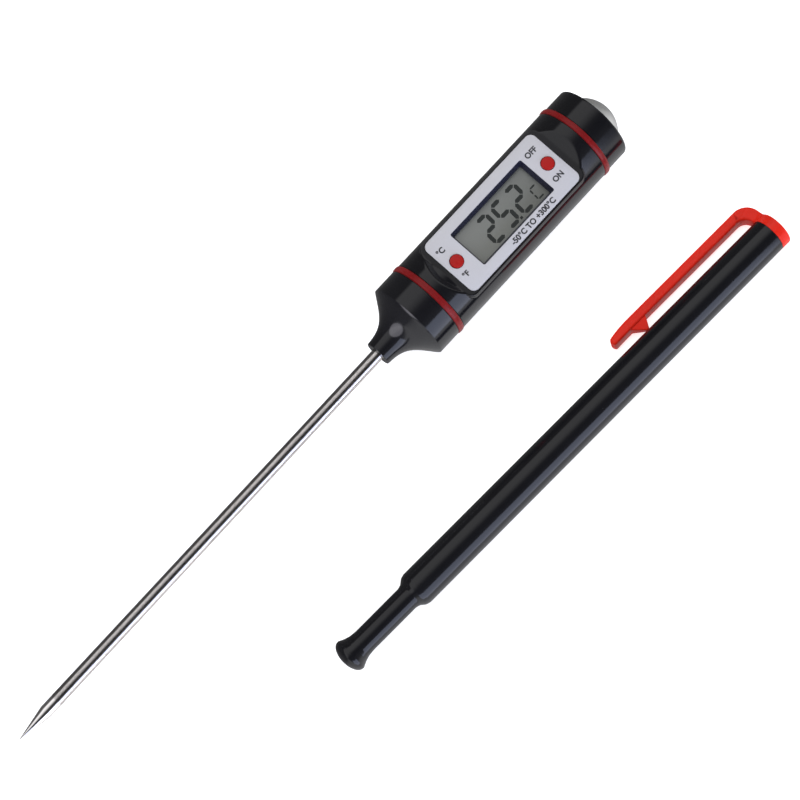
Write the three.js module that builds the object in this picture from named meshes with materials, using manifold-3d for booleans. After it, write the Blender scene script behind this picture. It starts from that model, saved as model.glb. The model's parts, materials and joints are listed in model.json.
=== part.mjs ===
// Pen-style digital probe thermometer with its protective sheath and pocket clip.
// Units are millimetres and +Z is up. The thermometer lies along +X: the probe points to -X, the
// battery cap to +X and the display faces +Z. The sheath lies beside it on the same table.
// Part stations along the thermometer count from the neck's end face, heights from its axis.
import * as THREE from "three";
import { mergeVertices } from "three/addons/utils/BufferGeometryUtils.js";
import Module from "manifold-3d";

const wasm = await Module();
wasm.setup();

// ---- driving dimensions ----
const seam = 0.06; // gap between two pieces that meet face to face
const fit = 0.1; // clearance of a piece in its hole, pocket or bore
const wireGap = 0.3; // gap at the ends of a wire

const probe = { length: 143.5, radius: 1.9, wall: 0.5, cone: 10.2, point: 0.15, inNose: 12 };
const plug = { length: 1.8 }; // tip's plug inside the tube
const bead = { radius: 0.85, length: 3.4 };
const lead = { radius: 0.28, spread: 0.55, boardSpread: 1.5 };
const ferrule = { radius: 3.4, length: 1.8 };

const body = { radius: 12.5, wall: 1.4, noseCylinder: 19.9, pastPad: 6.1 };
const neck = { radius: 3.9, ferruleStation: 9 };
const ring = { proud: 0.3, lowerWidth: 2.1, upperWidth: 1.9 };
const spigot = { reach: 5.4, wall: 1.3 }; // nose spigot that enters the main housing

const pad = { start: 27.4, pastLabel: 1.6, halfWidth: 10.4, height: 9.7, ramp: 3.5, corner: 2.4 };
const ceiling = { thickness: 1.7 }; // pad face down to the inside of the housing
const label = { pastButtons: 3.55, edge: 0.7, thickness: 0.3, corner: 2, proud: 0.03 };
const window_ = { length: 29.3, width: 12.9, corner: 0.6, taper: 1 };
const frame = { wall: 1, depth: 2.3, flange: 1.45, flangeThickness: 0.8 };
const lcd = { endMargin: 0.85, sideMargin: 1.05, thickness: 2 };
const strip = { endInset: 2, width: 1.6, height: 1.8, offset: 6 };
const board = { pastButtons: 4.55, width: 18, thickness: 1.2 };
const chip = { radius: 3.5, height: 1.3 };

const button = { radius: 1.95, proud: 0.62, fromWindow: 4.3, travel: 0.5, flangeRadius: 2.7, flange: 0.8 };
const tact = { side: 4.5, height: 2.2, plungerRadius: 1, spare: 0.1 };
const boss = { radius: 1.7, offset: 6.2 };
const screw = { radius: 0.65, head: 1.6, headHeight: 0.8, length: 5.2 };

const cell = { radius: 5.8, length: 5.4, spring: 3.4 };
const bulkhead = { thickness: 1.5 };
const spring = { coilRadius: 3.8, wire: 0.25, turns: 2.25 };
const sideContact = { width: 2.4, thickness: 0.3, length: 8 };
const batteryLead = { radius: 0.35, offset: 3, length: 6.4 };

const cap = { inset: 0.2, length: 7.5, bevel: 0.7, endWall: 2.6, threadRadius: 10.3, threadLength: 6.3 };
const seal = { wire: 0.45, station: 3.6 }; // station counts from the housing's end
const dome = { radius: 8.75, height: 5.3, seat: 1.3, stub: 2.8 };
const capPad = { radius: 5, thickness: 0.6 };

const sheath = { length: 173.9, radius: 5.4, wall: 0.95, x: -69.24, y: -50.03, yaw: -2.67 };
const tail = { radius: 3.6, knobRadius: 5.15, knobLength: 2.7, flare: 5.6, step: 24.9, stepLength: 3.2, bore: 2.4 };
const collar = { length: 3.2, lip: 0.9, rounding: 0.5 };
const clip = {
  roll: 16.0, width: 4.4, thickness: 3.1, gap: 3.4, reach: 57.2, hingeBack: 7.4, bend: 5, gapAtHinge: 0.3,
};
const tooth = { base: 6.8, fromTip: 6.2, width: 3.2, tipWidth: 1.6, off: 0.15 };

const sides = { round: 48, small: 20, wire: 6 };

// ---- values worked out from them ----
const ringRadius = body.radius + ring.proud;
const capRadius = body.radius - cap.inset;
const axisHeight = ringRadius; // the rings touch the table
const buttonSpacing = window_.length + 2 * button.fromWindow;
const labelLength = buttonSpacing + 2 * label.pastButtons;
const labelWidth = 2 * (pad.halfWidth - label.edge);
const padLength = labelLength + 2 * pad.pastLabel;
const bodyEnd = pad.start + padLength + body.pastPad;
const lcdLength = window_.length + 2 * lcd.endMargin;
const lcdWidth = window_.width + 2 * lcd.sideMargin;
const stripLength = lcdLength - 2 * strip.endInset;
const boardLength = buttonSpacing + 2 * board.pastButtons;
const lowerRingStart = body.noseCylinder;
const mainStart = lowerRingStart + ring.lowerWidth;
const upperRingEnd = bodyEnd + ring.upperWidth;
const capEnd = upperRingEnd + cap.length;
const cavityRadius = body.radius - body.wall;
const ceilingHeight = pad.height - ceiling.thickness;
const labelFloor = pad.height - label.thickness + label.proud - seam;
const faceCentre = pad.start + padLength / 2;
const frameTop = labelFloor - seam;
const lcdTop = frameTop - frame.depth - seam;
const lcdBottom = lcdTop - lcd.thickness;
const boardTop = lcdBottom - strip.height - 2 * seam;
const boardBottom = boardTop - board.thickness;
const pocketStart = bodyEnd + cap.threadLength - cell.length - cell.spring - 0.5;
const bulkheadStart = pocketStart - bulkhead.thickness;
const pocketRadius = cell.radius + 3 * fit;
const buttonStations = [faceCentre - buttonSpacing / 2, faceCentre + buttonSpacing / 2];
const buttonTop = pad.height + button.proud;
const flangeTop = ceilingHeight - fit;
const plungerTop = flangeTop - button.flange - button.travel - tact.spare - 0.35;
const sheathBore = sheath.radius - sheath.wall;
const tubeEnd = sheath.length - collar.length;
const clipHingeStation = sheath.length - clip.hingeBack;
const armInner = sheath.radius + clip.gap;
const armOuter = armInner + clip.thickness;

// ---- shape helpers ----
const solid = (geometry) => {
  const bare = geometry.index ? geometry.toNonIndexed() : geometry.clone();
  bare.deleteAttribute("normal");
  bare.deleteAttribute("uv");
  const merged = mergeVertices(bare, 1e-4);
  return new wasm.Manifold(
    new wasm.Mesh({
      numProp: 3,
      vertProperties: merged.attributes.position.array,
      triVerts: new Uint32Array(merged.index.array),
    }),
  );
};

const geometryOf = (manifold) => {
  const mesh = manifold.getMesh();
  const geometry = new THREE.BufferGeometry();
  geometry.setAttribute("position", new THREE.BufferAttribute(mesh.vertProperties, 3));
  geometry.setIndex(new THREE.BufferAttribute(mesh.triVerts, 1));
  const flat = geometry.toNonIndexed();
  flat.computeVertexNormals();
  return flat;
};

// A profile of [station, radius] pairs turned about the X axis.
const turned = (profile, count = sides.round) => {
  const points = profile.map(([x, r]) => new THREE.Vector2(r, x));
  if (THREE.ShapeUtils.area(points) < 0) points.reverse();
  return new THREE.LatheGeometry([...points, points[0]], count).rotateZ(-Math.PI / 2);
};

// The same about the Z axis, for [height, radius] pairs.
const turnedUp = (profile, count = sides.small) =>
  turned(profile, count).rotateY(-Math.PI / 2);

const tubeAlongX = (x0, x1, outer, inner, count) =>
  turned([[x0, inner], [x0, outer], [x1, outer], [x1, inner]], count);

const rodAlongX = (x0, x1, radius, count) =>
  turned([[x0, 0], [x0, radius], [x1, radius], [x1, 0]], count);

const rodAlongZ = (z0, z1, radius, count) =>
  turnedUp([[z0, 0], [z0, radius], [z1, radius], [z1, 0]], count);

const box = (x0, x1, y0, y1, z0, z1) =>
  new THREE.BoxGeometry(x1 - x0, y1 - y0, z1 - z0)
    .translate((x0 + x1) / 2, (y0 + y1) / 2, (z0 + z1) / 2);

// A plate with rounded corners, centred on x, lying flat between two heights.
const roundedPlate = (x, length, width, corner, z0, z1) => {
  const [a, b] = [length / 2 - corner, width / 2 - corner];
  const outline = new THREE.Shape();
  outline.absarc(a, b, corner, 0, Math.PI / 2);
  outline.absarc(-a, b, corner, Math.PI / 2, Math.PI);
  outline.absarc(-a, -b, corner, Math.PI, Math.PI * 1.5);
  outline.absarc(a, -b, corner, Math.PI * 1.5, Math.PI * 2);
  outline.closePath();
  return new THREE.ExtrudeGeometry(outline, { depth: z1 - z0, bevelEnabled: false, curveSegments: 5 })
    .translate(x, 0, z0);
};

// An outline of [x, z] pairs in the XZ plane, given a width along Y about its middle.
const standingPlate = (outline, width) => {
  const shape = new THREE.Shape(outline.map(([x, z]) => new THREE.Vector2(x, z)));
  return new THREE.ExtrudeGeometry(shape, { depth: width, bevelEnabled: false, curveSegments: 8 })
    .translate(0, 0, -width / 2)
    .rotateX(Math.PI / 2);
};

// A round wire along a smooth curve through points.
const wire = (points, radius, steps, count = sides.wire) => {
  const curve = new THREE.CatmullRomCurve3(points.map((p) => new THREE.Vector3(...p)));
  const section = new THREE.Shape();
  for (let i = 0; i < count; i++) {
    const angle = (i / count) * 2 * Math.PI;
    const [u, v] = [radius * Math.cos(angle), radius * Math.sin(angle)];
    if (i === 0) section.moveTo(u, v);
    else section.lineTo(u, v);
  }
  section.closePath();
  return new THREE.ExtrudeGeometry(section, { steps, extrudePath: curve, bevelEnabled: false });
};

const arc = (cx, cy, radius, from, to, steps) =>
  Array.from({ length: steps + 1 }, (_, i) => {
    const angle = THREE.MathUtils.degToRad(from + ((to - from) * i) / steps);
    return [cx + radius * Math.cos(angle), cy + radius * Math.sin(angle)];
  });

const finishes = {
  steel: { color: 0xb9b4b2, roughness: 0.22, metalness: 1 },
  blackPlastic: { color: 0x0c0c0e, roughness: 0.18, metalness: 0 },
  redPlastic: { color: 0xc81f1a, roughness: 0.3, metalness: 0 },
  label: { color: 0xc1bed0, roughness: 0.45, metalness: 0.1 },
  lcdGlass: { color: 0x7a7e78, roughness: 0.12, metalness: 0 },
  silver: { color: 0xc9c9c6, roughness: 0.32, metalness: 1 },
  board: { color: 0x1f5a34, roughness: 0.5, metalness: 0 },
  rubber: { color: 0x2a2a2a, roughness: 0.8, metalness: 0 },
  brass: { color: 0xc9a24a, roughness: 0.35, metalness: 1 },
};

const mesh = (name, finish, shape) => {
  const geometry = shape instanceof THREE.BufferGeometry ? shape : geometryOf(shape);
  const piece = new THREE.Mesh(geometry, new THREE.MeshStandardMaterial(finishes[finish]));
  piece.name = name;
  return piece;
};

// ---- probe ----
const tubeStart = -probe.length + probe.cone;
const tubeBore = probe.radius - probe.wall;

const probeTube = () =>
  mesh("probe_tube", "steel", tubeAlongX(tubeStart + seam, probe.inNose, probe.radius, tubeBore, sides.small));

const probeTip = () =>
  mesh("probe_tip", "steel", turned([
    [-probe.length, 0],
    [-probe.length, probe.point],
    [tubeStart, probe.radius],
    [tubeStart, tubeBore - fit],
    [tubeStart + plug.length, tubeBore - fit],
    [tubeStart + plug.length, 0],
  ], sides.small));

const beadStart = tubeStart + plug.length + wireGap;
const sensorBead = () =>
  mesh("sensor_bead", "board", turned([
    ...arc(beadStart + bead.radius, 0, bead.radius, 180, 90, 4),
    ...arc(beadStart + bead.length - bead.radius, 0, bead.radius, 90, 0, 4),
  ], 12));

const sensorLead = (side) => {
  const underBoard = boardBottom - lead.radius - seam;
  const boardStart = faceCentre - boardLength / 2;
  return mesh(side > 0 ? "sensor_lead_left" : "sensor_lead_right", "redPlastic", wire([
    [beadStart + bead.length + wireGap, side * lead.spread, 0],
    [-probe.length / 2, side * lead.spread, 0],
    [probe.inNose - 6, side * lead.spread, 0],
    [probe.inNose, side * lead.spread, 0],
    [probe.inNose + 6, side * lead.boardSpread * 0.8, underBoard * 0.3],
    [boardStart, side * lead.boardSpread, underBoard],
    [boardStart + 4, side * lead.boardSpread, underBoard],
  ], lead.radius, Math.round(probe.length / 4)));
};

// ---- nose ----
const noseHousing = () => {
  const flare = new THREE.SplineCurve([
    [0.5, neck.radius + 0.15],
    [3.8, neck.radius + 0.6],
    [7.2, neck.radius + 2.4],
    [10.4, body.radius - 2.4],
    [12.4, body.radius - 0.15],
  ].map(([x, r]) => new THREE.Vector2(x, r))).getPoints(12).map((p) => [p.x, p.y]);
  const spigotRadius = cavityRadius - 2 * fit;
  const inner = spigotRadius - spigot.wall;
  const shell = solid(turned([
    [0, probe.radius + fit / 2],
    [0, neck.radius],
    ...flare,
    [12.9, body.radius],
    [body.noseCylinder, body.radius],
    [body.noseCylinder, spigotRadius],
    [mainStart + spigot.reach, spigotRadius],
    [mainStart + spigot.reach, inner],
    [15, inner],
    [neck.ferruleStation + ferrule.length + 0.4, ferrule.radius + fit],
    [neck.ferruleStation, ferrule.radius + fit],
    [neck.ferruleStation, probe.radius + fit / 2],
  ]));
  const far = body.radius * 2;
  const flattened = solid(box(mainStart, mainStart + far, -far, far, ceilingHeight - 2 * fit, far));
  return mesh("nose_housing", "blackPlastic", shell.subtract(flattened));
};

const probeFerrule = () =>
  mesh("probe_ferrule", "brass", tubeAlongX(
    neck.ferruleStation + seam, neck.ferruleStation + ferrule.length, ferrule.radius,
    probe.radius + fit / 2, sides.small,
  ));

// ---- trim rings ----
const trimRing = (name, start, width, inner) => {
  const [a, b, edge] = [start + seam, start + width - seam, 0.3];
  return mesh(name, "redPlastic", turned([
    [a, inner],
    [a, ringRadius - edge],
    [a + edge * 0.6, ringRadius - edge * 0.3],
    [(a + b) / 2, ringRadius],
    [b - edge * 0.6, ringRadius - edge * 0.3],
    [b, ringRadius - edge],
    [b, inner],
  ]));
};

// ---- main housing ----
const mainHousing = () => {
  const shell = solid(rodAlongX(mainStart, bodyEnd, body.radius))
    .add(solid(roundedPlate(faceCentre, padLength, 2 * pad.halfWidth, pad.corner, 0, pad.height)))
    .add(solid(rodAlongX(bodyEnd - 1, bodyEnd + cap.threadLength, cap.threadRadius)));
  const top = body.radius + 1;
  const rampRise = body.radius - pad.height + 0.1;
  const flat = solid(standingPlate([
    [pad.start, pad.height],
    [pad.start + padLength, pad.height],
    [pad.start + padLength + pad.ramp, pad.height + rampRise],
    [pad.start + padLength + pad.ramp, top],
    [pad.start - pad.ramp, top],
    [pad.start - pad.ramp, pad.height + rampRise],
  ], 3 * body.radius));
  const cavity = solid(rodAlongX(mainStart - 1, bulkheadStart, cavityRadius))
    .subtract(solid(box(mainStart - 2, bodyEnd, -20, 20, ceilingHeight, 20)));
  const labelRecess = solid(roundedPlate(
    faceCentre, labelLength + 2 * fit, labelWidth + 2 * fit, label.corner + fit, labelFloor, top,
  ));
  const windowHole = solid(box(
    faceCentre - window_.length / 2 - frame.wall - fit, faceCentre + window_.length / 2 + frame.wall + fit,
    -window_.width / 2 - frame.wall - fit, window_.width / 2 + frame.wall + fit, ceilingHeight - 1, top,
  ));
  const pocket = solid(rodAlongX(pocketStart, capEnd, pocketRadius));
  const contactSlot = solid(box(
    pocketStart, capEnd, -sideContact.width / 2 - fit, sideContact.width / 2 + fit, 0, pocketRadius + 0.8,
  ));
  const sealGroove = solid(tubeAlongX(
    bodyEnd + seal.station - seal.wire - fit, bodyEnd + seal.station + seal.wire + fit,
    body.radius, cap.threadRadius - 2 * seal.wire + fit,
  ));
  let housing = shell.subtract(flat).subtract(cavity);
  boardFixings.forEach(([x, y]) => {
    const post = solid(rodAlongZ(boardTop + seam, ceilingHeight + 0.3, boss.radius, 12).translate(x, y, 0));
    const pilot = solid(rodAlongZ(boardTop - 1, ceilingHeight - 0.4, screw.radius + fit, 12).translate(x, y, 0));
    housing = housing.add(post).subtract(pilot);
  });
  housing = housing.subtract(labelRecess).subtract(windowHole).subtract(pocket).subtract(contactSlot)
    .subtract(sealGroove);
  buttonStations.forEach((x) => {
    housing = housing.subtract(solid(
      rodAlongZ(ceilingHeight - 1, top, button.radius + 1.5 * fit).translate(x, 0, 0),
    ));
  });
  [-1, 1].forEach((side) => {
    const hole = rodAlongX(bulkheadStart - 1, pocketStart + 0.5, batteryLead.radius + 2 * fit, 12);
    housing = housing.subtract(solid(hole.translate(0, side * batteryLead.offset, batteryLeadHeight)));
  });
  return mesh("main_housing", "blackPlastic", housing);
};
const boardFixings = [[buttonStations[0], boss.offset], [buttonStations[1], -boss.offset]];
const batteryLeadHeight = boardBottom - batteryLead.radius - seam;

// ---- face and display ----
const labelPlate = () => {
  const z0 = labelFloor + seam;
  let plate = solid(roundedPlate(faceCentre, labelLength, labelWidth, label.corner, z0, z0 + label.thickness))
    .subtract(solid(roundedPlate(faceCentre, window_.length, window_.width, window_.corner, z0 - 1, z0 + 1)));
  buttonStations.forEach((x) => {
    plate = plate.subtract(solid(rodAlongZ(z0 - 1, z0 + 1, button.radius + 2 * fit).translate(x, 0, 0)));
  });
  return mesh("label_plate", "label", plate);
};

// The display frame's opening narrows downwards, so its walls slope. Four tabs at its ends hold it
// under the housing's ceiling, clear of the button flanges.
const displayFrame = () => {
  const [halfLength, halfWidth] = [window_.length / 2, window_.width / 2];
  const bottom = frameTop - frame.depth;
  const block = solid(box(
    faceCentre - halfLength - frame.wall, faceCentre + halfLength + frame.wall,
    -halfWidth - frame.wall, halfWidth + frame.wall, bottom, frameTop,
  ));
  const flange = solid(box(
    faceCentre - halfLength - frame.wall - frame.flange, faceCentre + halfLength + frame.wall + frame.flange,
    -halfWidth - frame.wall, halfWidth + frame.wall, bottom, bottom + frame.flangeThickness,
  )).subtract(solid(box(
    pad.start, pad.start + padLength, -button.flangeRadius - 5 * fit, button.flangeRadius + 5 * fit,
    bottom - 1, frameTop,
  )));
  const spread = 0.01; // carries the cutter through both faces
  const grow = 1 + spread / frame.depth;
  const opening = new THREE.BoxGeometry(1, 1, frame.depth + 2 * spread)
    .translate(0, 0, bottom + frame.depth / 2);
  const corners = opening.attributes.position;
  for (let i = 0; i < corners.count; i++) {
    const inset = corners.getZ(i) > bottom + frame.depth / 2 ? 0 : window_.taper * grow;
    corners.setX(i, faceCentre + Math.sign(corners.getX(i)) * (halfLength - inset));
    corners.setY(i, Math.sign(corners.getY(i)) * (halfWidth - inset));
  }
  return mesh("display_frame", "blackPlastic", block.add(flange).subtract(solid(opening)));
};

const lcdPanel = () =>
  mesh("lcd_panel", "lcdGlass", box(
    faceCentre - lcdLength / 2, faceCentre + lcdLength / 2, -lcdWidth / 2, lcdWidth / 2, lcdBottom, lcdTop,
  ));

const contactStrip = () =>
  mesh("contact_strip", "rubber", box(
    faceCentre - stripLength / 2, faceCentre + stripLength / 2,
    strip.offset - strip.width / 2, strip.offset + strip.width / 2, boardTop + seam, lcdBottom - seam,
  ));

const circuitBoard = () => {
  let plate = solid(box(
    faceCentre - boardLength / 2, faceCentre + boardLength / 2,
    -board.width / 2, board.width / 2, boardBottom, boardTop,
  ));
  boardFixings.forEach(([x, y]) => {
    plate = plate.subtract(solid(
      rodAlongZ(boardBottom - 1, boardTop + 1, screw.radius + fit, 12).translate(x, y, 0),
    ));
  });
  return mesh("circuit_board", "board", plate);
};

const controllerChip = () =>
  mesh("controller_chip", "rubber", turnedUp([
    [boardBottom - seam, 0],
    [boardBottom - seam, chip.radius],
    [boardBottom - chip.height * 0.6, chip.radius * 0.75],
    [boardBottom - chip.height, chip.radius * 0.3],
    [boardBottom - chip.height, 0],
  ], 16).translate(faceCentre, 0, 0));

const tactSwitch = (name, x) => {
  const z0 = boardTop + seam;
  const half = tact.side / 2;
  const block = solid(box(x - half, x + half, -half, half, z0, z0 + tact.height))
    .add(solid(rodAlongZ(z0 + tact.height - 0.2, plungerTop, tact.plungerRadius, 12).translate(x, 0, 0)));
  return mesh(name, "rubber", block);
};

const pressButton = (name, x) =>
  mesh(name, "redPlastic", turnedUp([
    [plungerTop + tact.spare + button.travel, 0],
    [plungerTop + tact.spare + button.travel, tact.plungerRadius],
    [flangeTop - button.flange, tact.plungerRadius],
    [flangeTop - button.flange, button.flangeRadius],
    [flangeTop, button.flangeRadius],
    [flangeTop, button.radius],
    [buttonTop - 0.3, button.radius],
    [buttonTop - 0.08, button.radius - 0.25],
    [buttonTop, button.radius * 0.45],
    [buttonTop, 0],
  ], 24).translate(x, 0, 0));

const boardScrew = (name, [x, y]) => {
  const under = boardBottom - seam;
  return mesh(name, "steel", turnedUp([
    [under - screw.headHeight, 0],
    [under - screw.headHeight, screw.head * 0.6],
    [under - screw.headHeight * 0.5, screw.head],
    [under, screw.head],
    [under, screw.radius],
    [under + screw.length, screw.radius],
    [under + screw.length, 0],
  ], 12).translate(x, y, 0));
};

// ---- battery ----
const buttonCell = () => {
  const start = pocketStart + cell.spring;
  return mesh("button_cell", "silver", turned([
    [start, 0],
    [start, cell.radius - 1.2],
    [start + 0.4, cell.radius - 1],
    [start + 0.4, cell.radius - 0.2],
    [start + 0.6, cell.radius],
    [start + cell.length, cell.radius],
    [start + cell.length, 0],
  ], 24));
};

const cellSpring = () => {
  const coil = cell.spring - 2 * (spring.wire + seam);
  const points = Array.from({ length: 28 }, (_, i) => {
    const share = i / 27;
    const angle = share * spring.turns * 2 * Math.PI;
    return [
      pocketStart + spring.wire + seam + coil * share,
      spring.coilRadius * Math.cos(angle),
      spring.coilRadius * Math.sin(angle),
    ];
  });
  return mesh("cell_spring", "steel", wire(points, spring.wire, 48));
};

const cellSideContact = () =>
  mesh("cell_side_contact", "brass", box(
    pocketStart + seam, pocketStart + sideContact.length, -sideContact.width / 2, sideContact.width / 2,
    cell.radius + fit, cell.radius + fit + sideContact.thickness,
  ));

const batteryWire = (side) =>
  mesh(side > 0 ? "battery_lead_left" : "battery_lead_right", "redPlastic", rodAlongX(
    pocketStart - seam - batteryLead.length, pocketStart - seam, batteryLead.radius, sides.wire,
  ).translate(0, side * batteryLead.offset, batteryLeadHeight));

const capSeal = () =>
  mesh("cap_seal", "rubber", turned(
    arc(bodyEnd + seal.station, cap.threadRadius - seal.wire + 1.2 * fit, seal.wire, 0, 315, 7),
  ));

const batteryCap = () => {
  const start = upperRingEnd;
  const inside = capEnd - cap.endWall;
  return mesh("battery_cap", "blackPlastic", turned([
    [start, cap.threadRadius + 2.5 * fit],
    [start, capRadius],
    [capEnd - cap.bevel, capRadius],
    [capEnd - 0.3 * cap.bevel, capRadius - 0.3 * cap.bevel],
    [capEnd, capRadius - cap.bevel],
    [capEnd, dome.radius + fit],
    [capEnd - dome.seat, dome.radius + fit],
    [capEnd - dome.seat, dome.stub + fit],
    [inside, dome.stub + fit],
    [inside, cap.threadRadius + 2.5 * fit],
  ]));
};

const endDome = () => {
  const sphere = (dome.radius ** 2 + dome.height ** 2) / (2 * dome.height);
  const half = THREE.MathUtils.radToDeg(Math.asin(dome.radius / sphere));
  const seatFace = capEnd - dome.seat + seam;
  const stubEnd = capEnd - cap.endWall + fit;
  return mesh("end_dome", "silver", turned([
    [stubEnd, 0],
    [stubEnd, dome.stub],
    [seatFace, dome.stub],
    [seatFace, dome.radius],
    ...arc(capEnd + dome.height - sphere, 0, sphere, half, 0, 8),
  ], sides.round));
};

const capPadDisc = () => {
  const inside = capEnd - cap.endWall - seam;
  return mesh("cap_pad", "rubber", rodAlongX(inside - capPad.thickness, inside, capPad.radius, sides.small));
};

// ---- sheath, in its own frame: +X from the tail's end to the mouth, axis at the origin ----
const sheathTube = () => {
  const { knobRadius, knobLength, flare, step, stepLength } = tail;
  const spigotRadius = sheath.radius - sheath.wall / 2 - fit / 2;
  const boreEnd = step + stepLength + 1.5;
  const knob = Array.from({ length: 7 }, (_, i) => {
    const angle = (i / 6) * (Math.PI / 2) * 0.94;
    return [knobLength * (1 - Math.cos(angle)), knobRadius * Math.sin(angle)];
  });
  return mesh("sheath_tube", "blackPlastic", turned([
    ...knob,
    [knobLength + 0.3, knobRadius],
    [knobLength + 0.9, knobRadius - 0.25],
    [knobLength + flare * 0.35, tail.radius + 0.72],
    [knobLength + flare * 0.65, tail.radius + 0.22],
    [knobLength + flare, tail.radius],
    [step, tail.radius],
    [step + stepLength * 0.4, tail.radius + 0.35],
    [step + stepLength * 0.7, sheath.radius - 0.5],
    [step + stepLength, sheath.radius],
    [tubeEnd, sheath.radius],
    [tubeEnd, spigotRadius],
    [sheath.length - collar.lip - fit, spigotRadius],
    [sheath.length - collar.lip - fit, sheathBore],
    [boreEnd, sheathBore],
    [boreEnd - 2.5, tail.bore],
    [boreEnd - 12, tail.bore],
    [boreEnd - 13.5, 0],
  ], 40));
};

// The clip's outline is drawn in the plane of its own axis, radius upwards.
const clipCollar = () => {
  const inside = sheath.radius - sheath.wall / 2 + fit / 2;
  const back = tubeEnd + seam;
  const end = sheath.length;
  const r = collar.rounding;
  const band = solid(turned([
    [back, inside],
    [back, sheath.radius],
    ...arc(end - r, sheath.radius - r, r, 90, 0, 4),
    [end, sheathBore],
    [end - collar.lip, sheathBore],
    [end - collar.lip, inside],
  ], 40));
  const inner = clip.bend - clip.thickness + 1.2;
  const webBack = back - 0.6;
  const web = solid(standingPlate([
    [end - 0.2, sheath.radius - 0.3],
    ...arc(end - clip.bend, armOuter - clip.bend, clip.bend, 10, 90, 7),
    [clipHingeStation + clip.gapAtHinge, armOuter],
    [clipHingeStation + clip.gapAtHinge, armInner],
    ...arc(webBack - inner, armInner - inner, inner, 90, 0, 6),
    [webBack, sheath.radius + fit],
    [back, sheath.radius + fit],
    [back, sheath.radius - 0.3],
  ], clip.width)).subtract(solid(rodAlongX(back - 5, end - collar.lip, inside + 0.1, 40)));
  return mesh("clip_collar", "redPlastic", band.add(web));
};

const clipArm = () => {
  const tip = sheath.length - clip.reach;
  const round = 1;
  const arm = solid(standingPlate([
    [clipHingeStation, armInner],
    [clipHingeStation, armOuter],
    [tip + 30, armOuter],
    [tip + 14, armOuter - 0.2],
    ...arc(tip + round, armOuter - 1.75 - round, round, 90, 180, 3),
    ...arc(tip + round, armInner - 1 + round, round, 180, 270, 3),
    [tip + 7, armInner],
    [tip + 12, armInner + 0.1],
  ], clip.width));
  const toothBase = armInner + 0.5;
  const tipX = tip + tooth.fromTip + tooth.base * 0.6;
  const wedge = new THREE.BoxGeometry(1, 1, 1);
  const corners = wedge.attributes.position;
  for (let i = 0; i < corners.count; i++) {
    const high = corners.getZ(i) > 0;
    const right = corners.getX(i) > 0;
    const half = (high ? tooth.width : tooth.tipWidth) / 2;
    const lowX = right ? tipX + 0.5 : tipX - 0.1;
    const highX = tip + tooth.fromTip + (right ? tooth.base : 0);
    corners.setXYZ(
      i, high ? highX : lowX, Math.sign(corners.getY(i)) * half, high ? toothBase : sheath.radius + tooth.off,
    );
  }
  return mesh("clip_arm", "redPlastic", arm.add(solid(wedge)));
};

// ---- assembly ----
const thermometer = new THREE.Group();
thermometer.position.z = axisHeight;
thermometer.add(
  probeTube(),
  probeTip(),
  sensorBead(),
  sensorLead(1),
  sensorLead(-1),
  noseHousing(),
  probeFerrule(),
  trimRing("lower_ring", lowerRingStart, ring.lowerWidth, cavityRadius - fit),
  mainHousing(),
  labelPlate(),
  displayFrame(),
  lcdPanel(),
  contactStrip(),
  circuitBoard(),
  controllerChip(),
  tactSwitch("unit_switch", buttonStations[0]),
  tactSwitch("power_switch", buttonStations[1]),
  pressButton("unit_button", buttonStations[0]),
  pressButton("power_button", buttonStations[1]),
  boardScrew("board_screw_front", boardFixings[0]),
  boardScrew("board_screw_rear", boardFixings[1]),
  buttonCell(),
  cellSpring(),
  cellSideContact(),
  batteryWire(1),
  batteryWire(-1),
  capSeal(),
  trimRing("upper_ring", bodyEnd, ring.upperWidth, cap.threadRadius + 1.5 * fit),
  batteryCap(),
  endDome(),
  capPadDisc(),
);

// The clip stands out to the thermometer's side and rolls down until its edge rests on the table.
const clipGroup = new THREE.Group();
clipGroup.rotation.x = -Math.PI / 2 - THREE.MathUtils.degToRad(clip.roll);
clipGroup.add(clipCollar(), clipArm());

const sheathGroup = new THREE.Group();
sheathGroup.position.set(sheath.x, sheath.y, sheath.radius);
sheathGroup.rotation.z = THREE.MathUtils.degToRad(sheath.yaw);
sheathGroup.add(sheathTube(), clipGroup);

const assembly = new THREE.Group();
assembly.add(thermometer, sheathGroup);

// The origin is the middle of the whole object's footprint, on the table.
assembly.updateMatrixWorld(true);
const extent = new THREE.Box3().setFromObject(assembly, true);
assembly.position.set(
  -(extent.min.x + extent.max.x) / 2,
  -(extent.min.y + extent.max.y) / 2,
  -extent.min.z,
);

const part = new THREE.Group();
part.add(assembly);
export default part;
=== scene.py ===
import json
import math

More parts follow.
